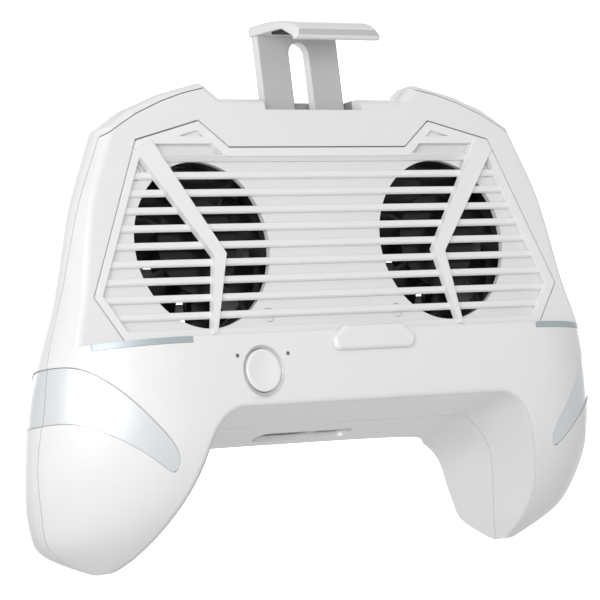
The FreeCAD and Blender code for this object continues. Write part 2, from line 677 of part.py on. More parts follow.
def rear_shell():
    shell = WALLS.cut(front_block(-size("seam_gap") / 2))
    collar = slot_prism(size("port_slot_half") + 1.8, size("port_slot_wide") + 3.0, -30,
                        size("flange_foot") - 0.05)
    bosses, tools = [collar.common(outer)], []
    for name, across, height, end in SCREWS:
        a, b, start = size(across), size(height), size(end) + 0.15
        bosses.append(rod_shape(a, b, start, 45, size("boss_radius") + 0.4).common(outer))
        tools.append(rod_shape(a, b, start - 1, 45, size("screw_radius") + 0.2))
        tools.append(rod_shape(a, b, start + size("screw_seat"), 45, size("screw_sink_radius")))
    shell = shell.fuse([bosses[0]] + both_sides(bosses[1:]))
    tools += vent_slots()
    port = slot_prism(size("port_slot_half"), size("port_slot_wide"), -32, -15)
    return shell.cut(POCKETS + both_sides(tools) + [port])


# Strut of the grille: upper outer corner, bend and foot
STRUT = [(47.0, 43.1), (51.6, 40.8), (33.3, 17.1), (36.2, -0.1), (34.9, 0.3), (30.0, 17.7)]
PEAK_SLOT = [(29.9, 42.2), (45.7, 42.2), (44.2, 39.9), (27.4, 39.9)]
PEAK_DENT = [(32.1, 43.8), (33.9, 45.2), (39.0, 43.9)]


def grille():
    outline = grille_outline()
    plate = rounded_prism(outline, 0, size("grille_thick"), 0.8)
    field = prism(grown(outline, -size("slot_border")), -1, 3)
    top, pitch, tall = size("first_slot_top"), size("bar_pitch"), size("slot_height")
    rows = int(size("slot_rows"))
    slots = [field.common(box_shape(-FAR, FAR, -1, 3, top - i*pitch - tall, top - i*pitch))
             for i in range(rows)]
    foot = top - (rows - 1)*pitch - tall
    front, bevel = size("bar_recess"), size("bar_bevel")
    for i in range(rows):
        corner = [V(-FAR, front - 1, top - i*pitch - 0.1), V(-FAR, front - 1, top - i*pitch + bevel + 1),
                  V(-FAR, front + bevel + 0.1, top - i*pitch - 0.1)]
        slots.append(field.common(Part.Face(Part.makePolygon(corner + corner[:1])).extrude(V(2*FAR, 0, 0))))
    recess = field.common(box_shape(-FAR, FAR, -1, size("bar_recess"), foot, top))
    peaks = both_sides([prism(PEAK_SLOT, -1, 3), prism(PEAK_DENT, -1, size("bar_recess"))])
    front = -size("strut_rise")
    struts = both_sides([prism(STRUT, front, front + size("strut_deep"))])
    return plate.cut([recess] + slots + peaks).fuse(struts).removeSplitter()


def fan_plate():
    y0 = size("plate_front")
    y1 = y0 + size("plate_thick")
    plate = rounded_prism(grown(grille_outline(), size("plate_margin")), y0, y1, 1.5)
    x, z, half = size("fan_place"), size("fan_height"), size("fan_screw_pitch") / 2
    holes = [rod_shape(x, z, 0, 5, size("fan_hole_radius"))]
    holes += [rod_shape(x + i*half, z + i*half, 0, 5, size("fan_screw_radius") + 0.1) for i in (-1, 1)]
    holes.append(rod_shape(size("screw_high_place"), size("screw_high"), 0, 5, size("boss_radius") + 0.2))
    return plate.cut(both_sides(holes))


def fan_housing(side, sign):
    """Square frame with a round duct and three arms that carry the motor."""
    name = "fan_housing_" + side
    x, back = sign + "fan_place", "fan_front + fan_depth"
    frame = block(name + "_frame", (x + " - fan_size/2", x + " + fan_size/2"), ("fan_front", back),
                  ("fan_height - fan_size/2", "fan_height + fan_size/2"))
    frame = softened(name + "_round", frame, "fan_corner", lambda b: b.XLength < 1e-6 and b.ZLength < 1e-6)
    bore = rod(name + "_duct", x, "fan_height", "fan_front - 1", back + " + 1", "fan_bore_radius")
    duct = less(name + "_ring", frame, [bore])
    parts = [duct, rod(name + "_motor", x, "fan_height", back + " - motor_base", back, "motor_radius")]
    for turn in (90, 210, 330):
        c, s = math.cos(math.radians(turn)), math.sin(math.radians(turn))
        arm = doc.addObject("Part::Box", "%s_arm_%d" % (name, turn))
        arm.Placement = FreeCAD.Placement(V(0, 0, 0), FreeCAD.Rotation(V(0, 1, 0), turn))
        arm.setExpression("Length", rule("fan_bore_radius - motor_radius + 1"))
        arm.setExpression("Width", rule("motor_base"))
        arm.setExpression("Height", rule("spoke_width"))
        place(arm, "%s + (motor_radius - 0.5)*(%.6f) - spoke_width/2*(%.6f)" % (x, c, s), back + " - motor_base",
              "fan_height - (motor_radius - 0.5)*(%.6f) - spoke_width/2*(%.6f)" % (s, c))
        parts.append(arm)
    holes = []
    for n, (i, k) in enumerate(((-1, -1), (-1, 1), (1, -1), (1, 1))):
        holes.append(rod("%s_hole_%d" % (name, n), "%s + (%d)*fan_screw_pitch/2" % (x, i),
                         "fan_height + (%d)*fan_screw_pitch/2" % k, "fan_front - 1", back + " + 1",
                         "fan_screw_radius + 0.1"))
    return keep(name, less(name, joined(name + "_solid", parts), holes))


def blades():
    """Swept blades about the Y axis."""
    out = []
    inner, tip, half = size("hub_radius") - 0.4, size("blade_tip_radius"), size("blade_thick") / 2
    count = int(size("blade_count"))
    front, deep = 0.2, size("hub_depth") - 0.5
    for k in range(count):
        wires = []
        for n in range(5):
            turn = 2*math.pi*k/count + math.radians(size("blade_sweep"))*n/4
            c, s, y = math.cos(turn), math.sin(turn), front + deep*n/4
            corners = ((inner, -half), (tip, -half), (tip, half), (inner, half))
            ring = [V(r*c - w*s, y, r*s + w*c) for r, w in corners]
            wires.append(Part.makePolygon(ring + [ring[0]]))
        out.append(Part.makeLoft(wires, True, False))
    return out


def fan_impeller(side, sign):
    """Hub cup, open towards the motor, with its blades."""
    name = "fan_impeller_" + side
    x, y = sign + "fan_place", "fan_front + 0.6"
    cup = less(name + "_cup", rod(name + "_hub", x, "fan_height", y, y + " + hub_depth", "hub_radius"),
               [rod(name + "_inside", x, "fan_height", y + " + hub_wall", y + " + hub_depth + 1",
                    "hub_radius - hub_wall")])
    parts = [cup]
    for n, blade in enumerate(blades()):
        thing = doc.addObject("Part::Feature", "%s_blade_%d" % (name, n))
        thing.Shape = blade
        thing.Placement = FreeCAD.Placement()
        place(thing, x, y, "fan_height")
        parts.append(thing)
    return keep(name, joined(name, parts))


def fan_inside(side, sign):
    x, back = sign + "fan_place", "fan_front + fan_depth - motor_base"
    floor = "fan_front + 0.6 + hub_wall"
    turned("fan_bearing_" + side, x, back + " - bearing_length", "fan_height",
           [("0", "bearing_length", "bearing_radius", "shaft_radius + shaft_fit")])
    turned("fan_coil_" + side, x, back + " - 0.3 - coil_length", "fan_height",
           [("0", "coil_length", "coil_radius", "bearing_radius + 0.02")])
    turned("fan_shaft_" + side, x, floor, "fan_height",
           [("0", back + " - 0.1 - (" + floor + ")", "shaft_radius", None)])
    for part, turn in (("upper", "1"), ("lower", "-1")):
        lift = turn if sign == "" else "(-1)*(" + turn + ")"
        turned("fan_screw_%s_%s" % (side, part), "%s + (%s)*fan_screw_pitch/2" % (x, lift),
               "plate_front + 0.1", "fan_height + (%s)*fan_screw_pitch/2" % turn,
               [("0", "fan_front + fan_depth - plate_front - 0.1", "fan_screw_radius", None),
                ("fan_front + fan_depth - plate_front - 0.1", "fan_front + fan_depth - plate_front + 1", "2.6",
                 None)])


# Side view of the hook from the arm forwards: depth and height of its upper side, tip and underside
HOOK_TOP = [(5.3, 69.95), (0.1, 69.75), (-5.4, 69.0), (-9.6, 67.55), (-11.5, 65.9)]
HOOK_TIP = [(-11.9, 64.5), (-11.3, 63.8)]


HOOK_CORNER = 3.8   # from the lip's inner face to where the underside begins
HOOK_DIP = 0.6      # how much lower the underside is there than at the arm


def side_prism(upper, lower, half):
    """Plate with a smooth upper side, seen from the side, between two widths; the points are depth and height."""
    curve = Part.BSplineCurve()
    curve.interpolate([V(-half, y, z) for y, z in upper])
    ring = [curve.EndPoint] + [V(-half, y, z) for y, z in lower] + [curve.StartPoint]
    edges = [curve.toShape()] + [Part.LineSegment(a, b).toShape() for a, b in zip(ring, ring[1:])]
    return Part.Face(Part.Wire(edges)).extrude(V(2*half, 0, 0))


def clamp_arm():
    """Flat arm with a long slot, and the hook plate with its lip at the top."""
    front, back, half = size("arm_front"), size("arm_front") + size("arm_thick"), size("arm_half_width")
    foot = size("arm_foot")
    blade = rounded_prism([(-half, 40), (half, 40), (half, foot), (-half, foot)], front, back, size("arm_corner"))
    blade = blade.fuse(box_shape(-half, half, front, back, 30, size("hook_underside") + 1))
    under = size("hook_underside")
    inside = size("hook_front") + size("lip_thick")
    lower = HOOK_TIP + [(inside, size("lip_foot")), (inside + 0.3, size("lip_foot") + 1.0),
                        (inside + HOOK_CORNER, under - HOOK_DIP), (back, under)]
    hook = side_prism(HOOK_TOP, lower, size("hook_half_width"))
    wide = size("hook_half_width")
    ends = [e for e in hook.Edges if e.BoundBox.XLength < 1e-6 and wide - abs(e.BoundBox.XMin) < 1e-3
            and e.BoundBox.YLength > 12 and e.BoundBox.ZMax > under + 2]
    hook = hook.makeFillet(size("hook_round"), ends)
    r, low, high = size("arm_slot_half"), size("arm_slot_foot"), size("arm_slot_top")
    slot = box_shape(-r, r, front - 1, back + 1, low + r, high - r)
    slot = slot.fuse([rod_shape(0, z, front - 1, back + 1, r) for z in (low + r, high - r)])
    return blade.fuse(hook).cut(slot).removeSplitter()


def clamp_parts():
    start = size("hook_front") + size("lip_thick") + HOOK_CORNER + 0.1
    back = size("arm_front") + size("arm_thick")
    grade = HOOK_DIP / (back - start + 0.1)
    wide = size("pad_half_width")
    heights = [(y, size("hook_underside") - (back - y)*grade) for y in (start, start + size("pad_long"))]
    thick = size("hook_pad_thick")
    ring = [V(-wide, y, z) for y, z in heights] + [V(-wide, y, z - thick) for y, z in heights[::-1]]
    shaped("hook_pad", Part.Face(Part.makePolygon(ring + [ring[0]])).extrude(V(2*wide, 0, 0)))
    half, back = "arm_half_width + guide_gap", "arm_front + arm_thick + guide_gap"
    solid = block("guide_solid", ("-(%s + guide_wall)" % half, half + " + guide_wall"),
                  ("fan_front", back + " + guide_wall"), ("guide_foot", "guide_top"))
    channel = block("guide_channel", ("-(%s)" % half, half), ("fan_front - 1", back),
                    ("guide_foot - 1", "guide_top + 1"))
    hole = rod("guide_hole", "0", "post_height", "fan_front", back + " + guide_wall + 1", "post_neck + 0.05")
    keep("clamp_guide", less("clamp_guide", solid, [channel, hole]))
    turned("stop_post", "0", "plate_front + plate_thick + 0.02", "post_height",
           [("0", "2.48", "post_radius", None), ("2.48", "3.88", "post_neck", None),
            ("3.88", "5.0", "post_head", None)])


def phone_catch():
    y0, y1 = size("bar_front") - size("catch_proud"), size("bar_front") - 0.03
    foot, top = size("catch_half_foot"), size("catch_half_top")
    points = [(-top, size("catch_top")), (top, size("catch_top")), (foot, size("catch_shoulder")),
              (foot - 0.8, size("catch_foot")), (-foot + 0.8, size("catch_foot")), (-foot, size("catch_shoulder"))]
    lip = rounded_prism(points, y0, y1, 1.3)
    lip = lip.makeFillet(0.9, [e for e in lip.Edges if e.BoundBox.YMax < y0 + 1e-6])
    pegs = [rod_shape(side*size("catch_peg_place"), size("catch_peg_height"), y1 - 0.5, -9.0, size("catch_peg"))
            for side in (-1, 1)]
    return lip.fuse(pegs)


def button_parts():
    front = "bar_front - button_proud"
    bore = "button_radius + button_gap"
    end = front + " + button_length"
    cap = rod("button_cap", "button_place", "button_height", front, end, "button_radius")
    cap = softened("button_edge", cap, "button_round", lambda b: b.YMax < size("bar_front"))
    flange = rod("button_flange", "button_place", "button_height", end + " - 0.85", end, "button_flange")
    dish = doc.addObject("Part::Sphere", "button_dish")
    dish.setExpression("Radius", rule("dish_radius"))
    place(dish, "button_place", front + " + dish_deep - dish_radius", "button_height")
    keep("power_button", less("power_button", joined("button_solid", [cap, flange]), [dish]))
    ring = rod("ring_body", "button_place", "button_height", "bar_front + 0.02", "bar_front + 1.7",
               "button_ring_radius")
    hole = rod("ring_bore", "button_place", "button_height", "bar_front - 1", "bar_front + 2", bore)
    bevel = doc.addObject("Part::Cone", "ring_bevel")
    bevel.Placement = FreeCAD.Placement(V(0, 0, 0), FreeCAD.Rotation(V(1, 0, 0), -90))
    bevel.setExpression("Radius1", rule("button_ring_radius - 0.05"))
    bevel.setExpression("Radius2", rule(bore))
    bevel.setExpression("Height", rule("ring_bevel"))
    place(bevel, "button_place", "bar_front + 0.02", "button_height")
    keep("button_ring", less("button_ring", ring, [hole, bevel]))
    turned("switch_plunger", "button_place", front + " + button_length + 0.02", "button_height",
           [("0", "1.68", "1.6", None)])
    body = block("switch_body", ("button_place - 3", "button_place + 3"), ("board_front - 1.7", "board_front"),
                 ("button_height - 3", "button_height + 3"))
    hole = rod("switch_hole", "button_place", "button_height", "board_front - 2", "board_front - 0.3", "1.7")
    keep("tact_switch", less("tact_switch", body, [hole]))


def lamp_guides():
    """Two clear rods in one piece, joined by a bridge that clears the button."""
    z, r = size("lamp_height"), size("lamp_radius")
    places = [size("lamp_middle") + side*size("lamp_pitch") for side in (-1, 1)]
    rods = [rod_shape(x, z, size("bar_front") - 0.05, size("board_front"), r) for x in places]
    legs = [box_shape(x - r, x + r, -8.4, -7.4, z, -3.4) for x in places]
    bridge = box_shape(places[0] - r, places[1] + r, -8.4, -7.4, -4.1, -3.4)
    return rods[0].fuse([rods[1], bridge] + legs)


def electronics():
    back = "board_front + board_thick"
    board = block("board_blank", ("-board_half", "board_half"), ("board_front", back), ("board_foot", "board_top"))
    holes = [rod("board_hole_" + n, sign + "(board_half - 3)", "(board_foot + board_top)/2", "board_front - 1",
                 back + " + 1", "0.95")
             for n, sign in (("right", ""), ("left", "-"))]
    keep("control_board", less("control_board", board, holes))
    keep("charge_chip", block("charge_chip", ("-5", "3"), (back, back + " + 1.2"), ("-13", "-6")))
    keep("drive_chip", block("drive_chip", ("20", "26"), (back, back + " + 1.2"), ("-12", "-7")))
    cell = block("cell_block", ("-cell_half", "cell_half"), ("cell_front", "cell_front + cell_thick"),
                 ("cell_foot", "cell_top"))
    keep("battery_cell", softened("battery_cell", cell,
                                  "cell_round", lambda b: b.YLength < 1e-6 and b.ZLength < 1e-6))
    face = "port_back - usb_out_tall/2"
    keep("port_board", block("port_board", ("-13", "13"), (face + " - 1.2", face),
                             ("flange_foot + port_flange + 0.1", "-9")))


def usb_socket(node, place_name, half, tall, long, tongue):
    """Sheet-metal sleeve, open below, with its tongue."""
    low, high = "port_floor", "port_floor + %s" % long
    sleeve = block(node + "_sleeve", ("%s - %s" % (place_name, half), "%s + %s" % (place_name, half)),
                   ("port_back - %s/2" % tall, "port_back + %s/2" % tall), (low, high))
    inside = block(node + "_inside",
                   ("%s - %s + usb_skin" % (place_name, half), "%s + %s - usb_skin" % (place_name, half)),
                   ("port_back - %s/2 + usb_skin" % tall, "port_back + %s/2 - usb_skin" % tall),
                   (low + " - 1", high + " - usb_skin"))
    bar = block(node + "_tongue", ("%s - %s + 1.1" % (place_name, half), "%s + %s - 1.1" % (place_name, half)),
                ("port_back - %s/2" % tongue, "port_back + %s/2" % tongue),
                (low + " + 1", high + " - usb_skin/2"))
    parts = [less(node + "_shell", sleeve, [inside]), bar]
    if node == "usb_in_socket":
        parts.append(block(node + "_foot",
                           ("%s - %s + 0.5" % (place_name, half), "%s + %s - 0.5" % (place_name, half)),
                           ("port_back - usb_out_tall/2", "port_back - %s/2 + usb_skin/2" % tall),
                           (high + " - 1.6", high)))
    return keep(node, joined(node, parts))


def port_plate():
    foot = size("flange_foot")
    plate = slot_prism(size("port_slot_half") - 0.12, size("port_slot_wide") - 0.24, size("port_floor"), foot)
    plate = plate.fuse(slot_prism(size("port_slot_half") + 1.6, size("port_slot_wide") + 0.4, foot,
                                  foot + size("port_flange")))
    holes = []
    for name in ("usb_out", "usb_in"):
        x, half, tall = size(name + "_place"), size(name + "_half") + 0.03, size(name + "_tall") / 2 + 0.03
        holes.append(box_shape(x - half, x + half, size("port_back") - tall, size("port_back") + tall, -25, -10))
    return plate.cut(holes)


def casing_screws():
    for name, across, height, end in SCREWS:
        for side, sign in (("right", ""), ("left", "-")):
            turned("screw_%s_%s" % (name, side), sign + across, end + " - 6", height,
                   [("0", "6.15 + screw_seat", "screw_radius", None),
                    ("6.15 + screw_seat", "6.15 + screw_seat + screw_head_tall", "screw_head_radius", None)])


# Pieces
shaped("front_shell", front_shell())
shaped("rear_shell", rear_shell())
shaped("grille", grille())
shaped("fan_plate", fan_plate())
for side, sign in (("right", ""), ("left", "-")):
    fan_housing(side, sign)
    fan_impeller(side, sign)
    fan_inside(side, sign)
shaped("clamp_arm", clamp_arm())
clamp_parts()
shaped("phone_catch", phone_catch())
strip = skin.common(trim_box(0.0))
for node, right in (("ledge_trim", strip), ("grip_band_front", BANDS[0]), ("grip_band_rear", BANDS[1])):
    shaped(node + "_right", right)
    shaped(node + "_left", flip(right))
button_parts()
shaped("lamp_guides", lamp_guides())
electronics()
shaped("port_plate", port_plate())
usb_socket("usb_out_socket", "usb_out_place", "usb_out_half", "usb_out_tall", "usb_out_long", "1.6")
usb_socket("usb_in_socket", "usb_in_place", "usb_in_half", "usb_in_tall", "usb_in_long", "0.7")
casing_screws()
doc.recompute()

# Nothing is written unless every object came out whole
for thing in doc.Objects:
    if "Invalid" in thing.State or "Error" in thing.State:
        raise RuntimeError("%s failed: %s" % (thing.Name, thing.State))
for node, thing in PIECES.items():
    if thing.Shape.isNull() or not thing.Shape.isValid() or len(thing.Shape.Solids) != 1:
        raise RuntimeError("%s isn't one valid solid" % node)
os.makedirs("parts", exist_ok=True)
for node, thing in PIECES.items():
    thing.Shape.exportStep("parts/%s.step" % node)
    box = thing.Shape.BoundBox
    sides = (box.XMin, box.XMax, box.YMin, box.YMax, box.ZMin, box.ZMax)
    print("%-24s %9.1f  X %7.2f %7.2f  Y %7.2f %7.2f  Z %7.2f %7.2f" % ((node, thing.Shape.Volume) + sides))
print(len(PIECES), "pieces")
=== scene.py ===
# %% [markdown]
# # A cooling grip for a phone
# The grip is a white plastic casing with two fans behind a slotted grille, a shelf that the phone
# stands on, a clamp arm at the top and a power button on the bar. Every piece comes from the
# packed model. A piece could be replaced here by a finer one, but these solids carry the shapes of
# the grip themselves, so this lesson is about its finishes and its light.
# Everything is in metres: X to the right, Y back through the casing, Z up.

# %% Load the frame
import bpy
import math
from mathutils import Matrix, Vector

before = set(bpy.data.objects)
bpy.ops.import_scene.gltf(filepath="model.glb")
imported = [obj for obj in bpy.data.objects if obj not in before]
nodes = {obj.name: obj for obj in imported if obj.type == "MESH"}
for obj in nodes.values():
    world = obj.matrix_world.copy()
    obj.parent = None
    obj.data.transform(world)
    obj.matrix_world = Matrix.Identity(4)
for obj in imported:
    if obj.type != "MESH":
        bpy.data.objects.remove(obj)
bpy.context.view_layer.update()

# %% [markdown]
# ## Camera
# The picture was taken from the left and a little below the grip, with a long lens, so lines that
# run back converge only slightly. A camera could be aimed at a point, but then its roll is lost.
# It is placed by its own yaw, pitch and roll instead, and looks up at the grip.

# %% Camera
YAW, PITCH, ROLL = math.radians(39.037), math.radians(-5.919), math.radians(-6.841)
EYE = Vector((-0.531640, -0.642453, -0.078914))
FOCAL_PIXELS, FRAME_PIXELS = 3745.4, 600
SENSOR = 36.0
NEAREST, FARTHEST = 0.05, 50


def aim(eye, yaw, pitch, roll):
    """World matrix of a camera that looks along yaw and pitch and is turned by roll."""
    level = Vector((math.sin(yaw), math.cos(yaw), 0))
    forward = level * math.cos(pitch) - Vector((0, 0, math.sin(pitch)))
    side = Vector((math.cos(yaw), -math.sin(yaw), 0))
    up = side.cross(forward)
    right = side * math.cos(roll) + up * math.sin(roll)
    over = up * math.cos(roll) - side * math.sin(roll)
    turned = Matrix((right, over, -forward)).transposed()
    return Matrix.Translation(eye) @ turned.to_4x4()


lens = bpy.data.cameras.new("long_lens")
lens.sensor_width = SENSOR
lens.lens = FOCAL_PIXELS * SENSOR / FRAME_PIXELS
lens.clip_start, lens.clip_end = NEAREST, FARTHEST
camera = bpy.data.objects.new("camera", lens)
camera.matrix_world = aim(EYE, YAW, PITCH, ROLL)
bpy.context.scene.collection.objects.link(camera)
bpy.context.scene.camera = camera
print("lens:", round(lens.lens, 1), "mm")

# %% [markdown]
# ## Shader expressions
# A finish is easier to read as arithmetic than as a list of links. The nodes could be drawn by
# hand in the editor, but a script can say why each is there. This small class wraps one socket,
# so that `1 - mask` or `a * b + c` adds the Math nodes by itself.

# %% Sockets that add and multiply
class Socket:
    """One output of a node tree that can be used in arithmetic."""

    def __init__(self, finish, out):
        self.finish, self.out = finish, out

    def _math(self, operation, a, b):
        return self.finish.add("ShaderNodeMath", {"operation": operation}, {0: a, 1: b})

    def __add__(self, other): return self._math("ADD", self, other)
    def __radd__(self, other): return self._math("ADD", other, self)
    def __sub__(self, other): return self._math("SUBTRACT", self, other)
    def __rsub__(self, other): return self._math("SUBTRACT", other, self)
    def __mul__(self, other): return self._math("MULTIPLY", self, other)
    def __rmul__(self, other): return self._math("MULTIPLY", other, self)
    def __gt__(self, other): return self._math("GREATER_THAN", self, other)
    def __lt__(self, other): return self._math("LESS_THAN", self, other)

    def least(self, other): return self._math("MINIMUM", self, other)
    def most(self, other): return self._math("MAXIMUM", self, other)
    def size(self): return self._math("ABSOLUTE", self, 0.0)


print("socket operators: + - * < >, least, most, size")

# %% [markdown]
# ## A finish
# Each real material, such as a moulded plastic or a lacquer, is one Principled shader here. What
# is the same all over is set on the shader itself. What changes over the surface comes from
# nodes, and every one of them is made by the method `add`, so that one place shows how a node is
# filled.

# %% Finish
class Finish:
    """A material whose nodes are added with expressions."""

    def __init__(self, name, **fixed):
        self.material = bpy.data.materials.new(name)
        self.material.use_nodes = True
        self.tree = self.material.node_tree
        self.tree.nodes.clear()
        self.shader = self.tree.nodes.new("ShaderNodeBsdfPrincipled")
        out = self.tree.nodes.new("ShaderNodeOutputMaterial")
        self.tree.links.new(self.shader.outputs[0], out.inputs[0])
        for socket, value in fixed.items():
            self.shader.inputs[socket.replace("_", " ")].default_value = value

    def add(self, kind, settings, inputs, output=0):
        """A node of that kind with its settings, and its sockets filled with values or links."""
        node = self.tree.nodes.new(kind)
        for name, value in settings.items():
            setattr(node, name, value)
        for key, value in inputs.items():
            self.feed(node.inputs[key], value)
        return Socket(self, node.outputs[output])

    def feed(self, socket, value):
        """Links or sets one socket. None leaves it as it is."""
        if isinstance(value, Socket):
            self.tree.links.new(value.out, socket)
        elif value is not None:
            socket.default_value = value

    def set(self, **inputs):
        """Links or sets sockets of the shader."""
        for name, value in inputs.items():
            self.feed(self.shader.inputs[name.replace("_", " ")], value)
        return self

    def place(self):
        """Position on the object in metres."""
        return self.add("ShaderNodeTexCoord", {}, {}, "Object")

    def facing(self):
        """Direction in which the surface looks."""
        return self.add("ShaderNodeTexCoord", {}, {}, "Normal")

    def split(self, vector):
        """X, Y and Z of a vector."""
        parts = self.add("ShaderNodeSeparateXYZ", {}, {0: vector})
        return [Socket(self, out) for out in parts.out.node.outputs]

    def noise(self, scale, detail=2.0):
        """Cloudy value from 0 to 1."""
        return self.add("ShaderNodeTexNoise", {},
                        {"Vector": self.place(), "Scale": scale, "Detail": detail}, "Fac")

    def mix(self, share, one, two):
        """Colour between one and two."""
        return self.add("ShaderNodeMix", {"data_type": "RGBA"}, {0: share, 6: one, 7: two}, 2)

    def bump(self, height, strength, distance, over=None):
        """Normal of a surface that is raised by height, on top of the normal over."""
        return self.add("ShaderNodeBump", {}, {"Strength": strength, "Distance": distance,
                                               "Height": height, "Normal": over}, "Normal")

    def soft_edge(self, radius):
        """Normal that bends round sharp edges as if they had that radius."""
        return self.add("ShaderNodeBevel", {"samples": 6}, {"Radius": radius}, "Normal")


print("a finish is fed through", [name for name in vars(Finish) if not name.startswith("_")])

# %% [markdown]
# ## Painting the pieces
# A painter masks one piece and sprays it. Here each piece of the grip is an object of its own, and
# `paint` gives it one material. Its mesh stays as it was packed.

# %% Paint helpers

def paint(finish, *names):
    """Gives the finish to those pieces."""
    for name in names:
        thing = nodes[name]
        thing.data.materials.clear()
        thing.data.materials.append(finish.material)
    print(finish.material.name, "on", ", ".join(names))


def rgb(level):
    """Neutral colour of that lightness."""
    return (level, level, level, 1.0)


# %% [markdown]
# ## White plastic
# The casing is moulded in glossy white plastic. Under soft light it hardly mirrors anything, but
# its coat gives wide, soft highlights. One flat white would do from far off. A faint mottling in
# the colour and a very fine bump keep it from looking like a drawing, and a Bevel node rounds the
# shading at each edge, as a mould does.

# %% White plastic
CLOUD_SCALE, CLOUD_DETAIL, GRAIN_SCALE = 18.0, 3.0, 2600.0
DARKER, ROUGH_SWING = 0.985, 0.06
COAT_ROUGHNESS, GRAIN_STRENGTH = 0.24, 0.12


def white_plastic(name, level, rough, coat):
    """Finish of coated white plastic, and its mottled colour."""
    finish = Finish(name, Coat_Weight=coat, Coat_Roughness=COAT_ROUGHNESS, IOR=1.5)
    cloud = finish.noise(CLOUD_SCALE, CLOUD_DETAIL)
    finish.set(Roughness=rough + (cloud - 0.5) * ROUGH_SWING)
    return finish, finish.mix(cloud, rgb(level * DARKER), rgb(level))


def mould(finish, colour, grain, edge):
    """Gives the plastic that colour, a grain of that height and edges of that radius."""
    fine = finish.noise(GRAIN_SCALE)
    over = finish.soft_edge(edge)
    return finish.set(Base_Color=colour, Normal=finish.bump(fine, GRAIN_STRENGTH, grain, over))


grille_white, mottle = white_plastic("grille_white", level=0.84, rough=0.42, coat=0.15)
paint(mould(grille_white, mottle, grain=0.00003, edge=0.0002), "grille")
plate_grey, mottle = white_plastic("plate_grey", level=0.78, rough=0.55, coat=0.0)
paint(mould(plate_grey, mottle, grain=0.00004, edge=0.00003), "fan_plate", "switch_plunger",
      "fan_screw_left_upper", "fan_screw_left_lower",
      "fan_screw_right_upper", "fan_screw_right_lower")

# %% [markdown]
# ## Casing
# On the real grip the arch between the two handles has a much rounder edge than the seams, about
# 2 mm against a quarter. It could be one more fillet in the solid. Here the Bevel node gets a
# wider radius inside a mask, because the fillet runs out to nothing at the tips of the handles. A
# second mask paints shade into the mouth that the arm slides in, where little light reaches.

# %% Casing
SEAM_EDGE, ARCH_EDGE = 0.00025, 0.0022
ARCH_TOP = -0.0152
ARCH_BACK, ARCH_BACK_SLOPE = -0.0008, 0.36
ARCH_HALF, ARCH_HALF_SLOPE = 0.0393, 0.4
MOUTH_HALF, MOUTH_FRONT, MOUTH_BACK, MOUTH_FLOOR = 0.0166, 0.0034, 0.0068, 0.0445
MOUTH_SHADE_GREY = 0.30

casing_white, mottle = white_plastic("casing_white", level=0.82, rough=0.32, coat=1.0)
x, y, z = casing_white.split(casing_white.place())
arch = (z < ARCH_TOP) * (y < ARCH_BACK - z * ARCH_BACK_SLOPE)
arch = arch * (x.size() < ARCH_HALF - z * ARCH_HALF_SLOPE)
# Painted shade: the mouth of the arm's channel gets a dark grey, since little light reaches it.
mouth = (x.size() < MOUTH_HALF) * (y > MOUTH_FRONT) * (y < MOUTH_BACK) * (z > MOUTH_FLOOR)
edge = SEAM_EDGE + arch * (ARCH_EDGE - SEAM_EDGE)
mould(casing_white, casing_white.mix(mouth, mottle, rgb(MOUTH_SHADE_GREY)), grain=0.00002, edge=edge)
paint(casing_white, "front_shell", "rear_shell", "phone_catch", "power_button")

# %% [markdown]
# ## Clamp arm
# The arm is the same plastic, but its front stands in the shade of the hook and looks grey. A
# screen in front of the lamps could do that, at the cost of the other tones. The front gets
# painted shade instead, a grey found by the direction in which it faces, lighter further up.

# %% Clamp arm
FRONT_FACING = -0.8
HOOK_UNDERSIDE = 0.0682
FADE_START, FADE_RATE, FADE_MOST = 0.035, 12.0, 0.25
ARM_SHADE_GREY = 0.42

arm_white, mottle = white_plastic("arm_white", level=0.80, rough=0.38, coat=0.20)
front = arm_white.split(arm_white.facing())[1] < FRONT_FACING
high = arm_white.split(arm_white.place())[2]
fade = ((high - FADE_START) * FADE_RATE).most(0.0).least(FADE_MOST)
# Painted shade: the arm's front below the hook is greyed, and less so further up.
shade = front * (high < HOOK_UNDERSIDE) * (1.0 - fade)
mould(arm_white, arm_white.mix(shade, mottle, rgb(ARM_SHADE_GREY)), grain=0.00003, edge=0.0005)
paint(arm_white, "clamp_arm")

# %% [markdown]
# ## Silver lacquer
# Four bands on the handles and two strips on the shelf are sprayed with silver lacquer. It is
# neither a mirror nor a paint: tiny flakes lie in it. Pure metal would turn as grey as the floor
# it mirrors, so the finish is metallic only in part. The strips are a more metallic mix, and
# their darker colour is painted shade, since they lie flat in the shade.

# %% Silver lacquer
FLAKE_STRENGTH, FLAKE_HEIGHT, FLAKE_ROUGHNESS = 0.1, 0.00002, 0.08
SIDES = ("left", "right")


def lacquer(name, dark, light, rough, metal, flakes, coat, coat_rough):
    """Lacquer with flakes in it, which are darker and lighter and rough by turns."""
    finish = Finish(name, Metallic=metal, Coat_Weight=coat, Coat_Roughness=coat_rough)
    flake = finish.noise(flakes)
    return finish.set(Base_Color=finish.mix(flake, dark, light),
                      Roughness=rough + flake * FLAKE_ROUGHNESS,
                      Normal=finish.bump(flake, FLAKE_STRENGTH, FLAKE_HEIGHT))


band = lacquer("silver_lacquer", (0.74, 0.77, 0.79, 1), (0.80, 0.83, 0.85, 1),
               rough=0.32, metal=0.35, flakes=3500.0, coat=0.4, coat_rough=0.15)
